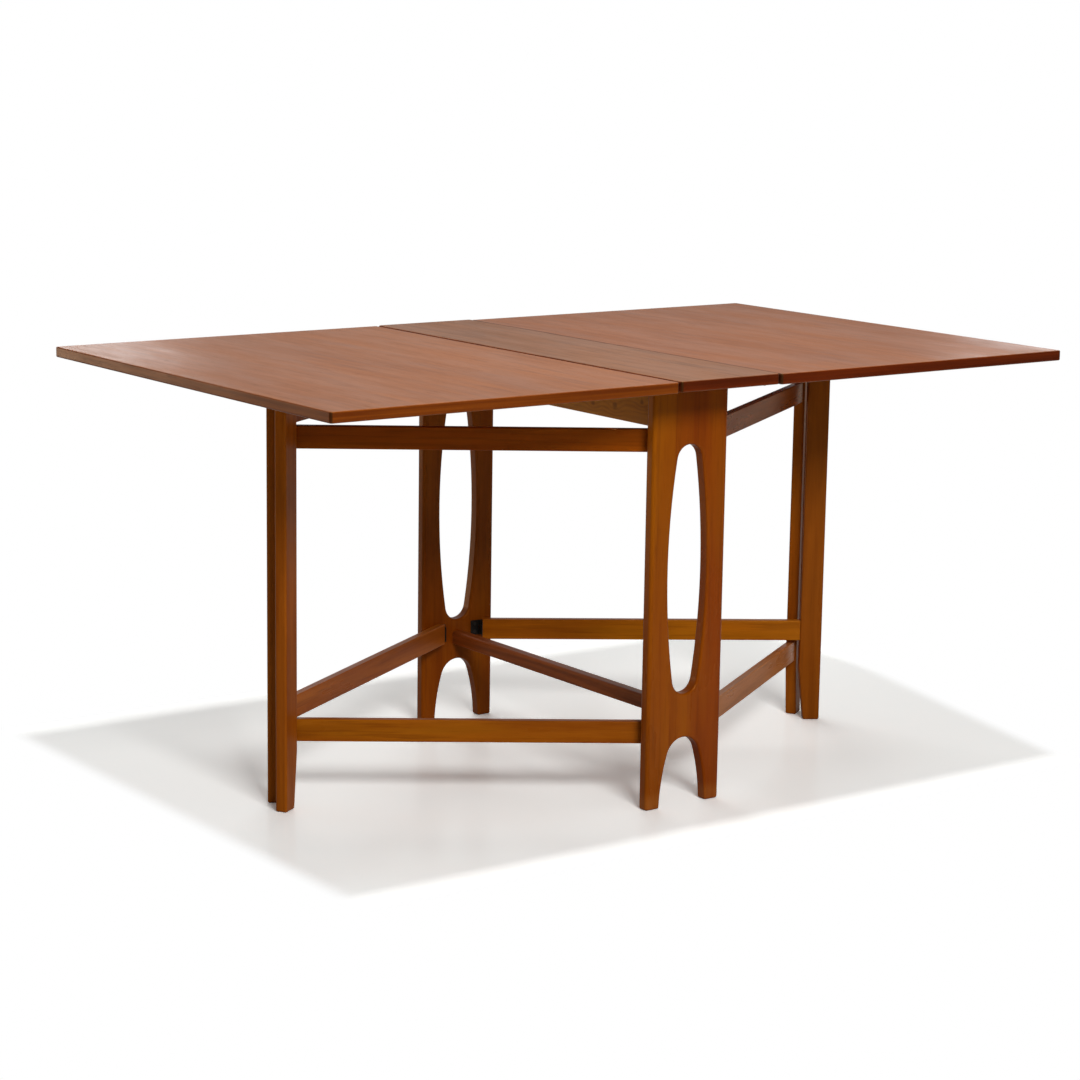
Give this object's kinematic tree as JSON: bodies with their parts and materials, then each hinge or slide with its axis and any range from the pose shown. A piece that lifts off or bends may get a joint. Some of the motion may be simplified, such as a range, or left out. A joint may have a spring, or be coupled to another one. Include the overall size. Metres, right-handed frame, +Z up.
{
  "type": "folding table",
  "caption": "Drop-leaf folding table: narrow centre board on end panels with oval windows, leaves on crossing swing-out gate legs.",
  "frame": {"origin": "on the floor under the middle of the opened top", "axes": "+X along the opened top from leaf to leaf, +Y across it from the near to the far end panel, +Z up"},
  "size_m": [1.517, 0.9, 0.74],
  "materials": {
    "teak_centre": "satin",
    "teak_leaf": "satin",
    "teak_panel": "satin",
    "teak_gate": "satin",
    "pine": "matte",
    "stained_wood": "matte",
    "beech": "matte",
    "dark_steel": "satin",
    "zinc_steel": "satin"
  },
  "bodies": {
    "frame": {"centre_board": "teak_centre", "near_end_panel": "teak_panel", "far_end_panel": "teak_panel", "top_rail": "pine", "stretcher": "stained_wood", "panel_dowels": "beech", "rail_screws": "zinc_steel", "near_left_panel_plates": "dark_steel", "near_left_panel_screws": "dark_steel", "near_left_gate_pins": "dark_steel", "far_left_panel_plates": "dark_steel", "far_left_panel_screws": "dark_steel", "far_left_gate_pins": "dark_steel", "near_right_panel_plates": "dark_steel", "near_right_panel_screws": "dark_steel", "near_right_gate_pins": "dark_steel", "far_right_panel_plates": "dark_steel", "far_right_panel_screws": "dark_steel", "far_right_gate_pins": "dark_steel", "left_leaf_hinge_board_plates": "dark_steel", "left_leaf_hinge_board_screws": "dark_steel", "left_leaf_hinge_pins": "dark_steel", "right_leaf_hinge_board_plates": "dark_steel", "right_leaf_hinge_board_screws": "dark_steel", "right_leaf_hinge_pins": "dark_steel"},
    "near_left_gate": {"near_left_leg": "teak_gate", "near_left_lower_rail": "teak_gate", "near_left_upper_rail": "teak_gate", "near_left_gate_plates": "dark_steel", "near_left_gate_screws": "dark_steel"},
    "far_left_gate": {"far_left_leg": "teak_gate", "far_left_lower_rail": "teak_gate", "far_left_upper_rail": "teak_gate", "far_left_gate_plates": "dark_steel", "far_left_gate_screws": "dark_steel"},
    "near_right_gate": {"near_right_leg": "teak_gate", "near_right_lower_rail": "teak_gate", "near_right_upper_rail": "teak_gate", "near_right_gate_plates": "dark_steel", "near_right_gate_screws": "dark_steel"},
    "far_right_gate": {"far_right_leg": "teak_gate", "far_right_lower_rail": "teak_gate", "far_right_upper_rail": "teak_gate", "far_right_gate_plates": "dark_steel", "far_right_gate_screws": "dark_steel"},
    "left_leaf": {"left_leaf": "teak_leaf", "left_leaf_hinge_leaf_plates": "dark_steel", "left_leaf_hinge_leaf_screws": "dark_steel"},
    "right_leaf": {"right_leaf": "teak_leaf", "right_leaf_hinge_leaf_plates": "dark_steel", "right_leaf_hinge_leaf_screws": "dark_steel"}
  },
  "joints": [
    {"name": "far_left_gate_swing", "type": "hinge", "parent": "frame", "child": "far_left_gate", "pos_m": [-0.05, 0.3257, 0.37], "axis": [0, 0, 1], "range_deg": [0, 55.73]},
    {"name": "far_right_gate_swing", "type": "hinge", "parent": "frame", "child": "far_right_gate", "pos_m": [0.05, 0.3257, 0.37], "axis": [0, 0, -1], "range_deg": [0, 54.18]},
    {"name": "near_left_gate_swing", "type": "hinge", "parent": "frame", "child": "near_left_gate", "pos_m": [-0.05, -0.3257, 0.37], "axis": [0, 0, -1], "range_deg": [0, 53.35]},
    {"name": "near_right_gate_swing", "type": "hinge", "parent": "frame", "child": "near_right_gate", "pos_m": [0.05, -0.3257, 0.37], "axis": [0, 0, 1], "range_deg": [0, 54.64]},
    {"name": "left_leaf_hinge", "type": "hinge", "parent": "frame", "child": "left_leaf", "pos_m": [-0.10475, 0, 0.7177], "axis": [0, 1, 0], "range_deg": [0, 8]},
    {"name": "right_leaf_hinge", "type": "hinge", "parent": "frame", "child": "right_leaf", "pos_m": [0.10475, 0, 0.7177], "axis": [0, -1, 0], "range_deg": [0, 8]}
  ],
  "couplings": [
    {"joint": "near_left_gate_swing", "follows": "far_left_gate_swing", "ratio": 0.9572},
    {"joint": "near_right_gate_swing", "follows": "far_right_gate_swing", "ratio": 1.0084}
  ]
}
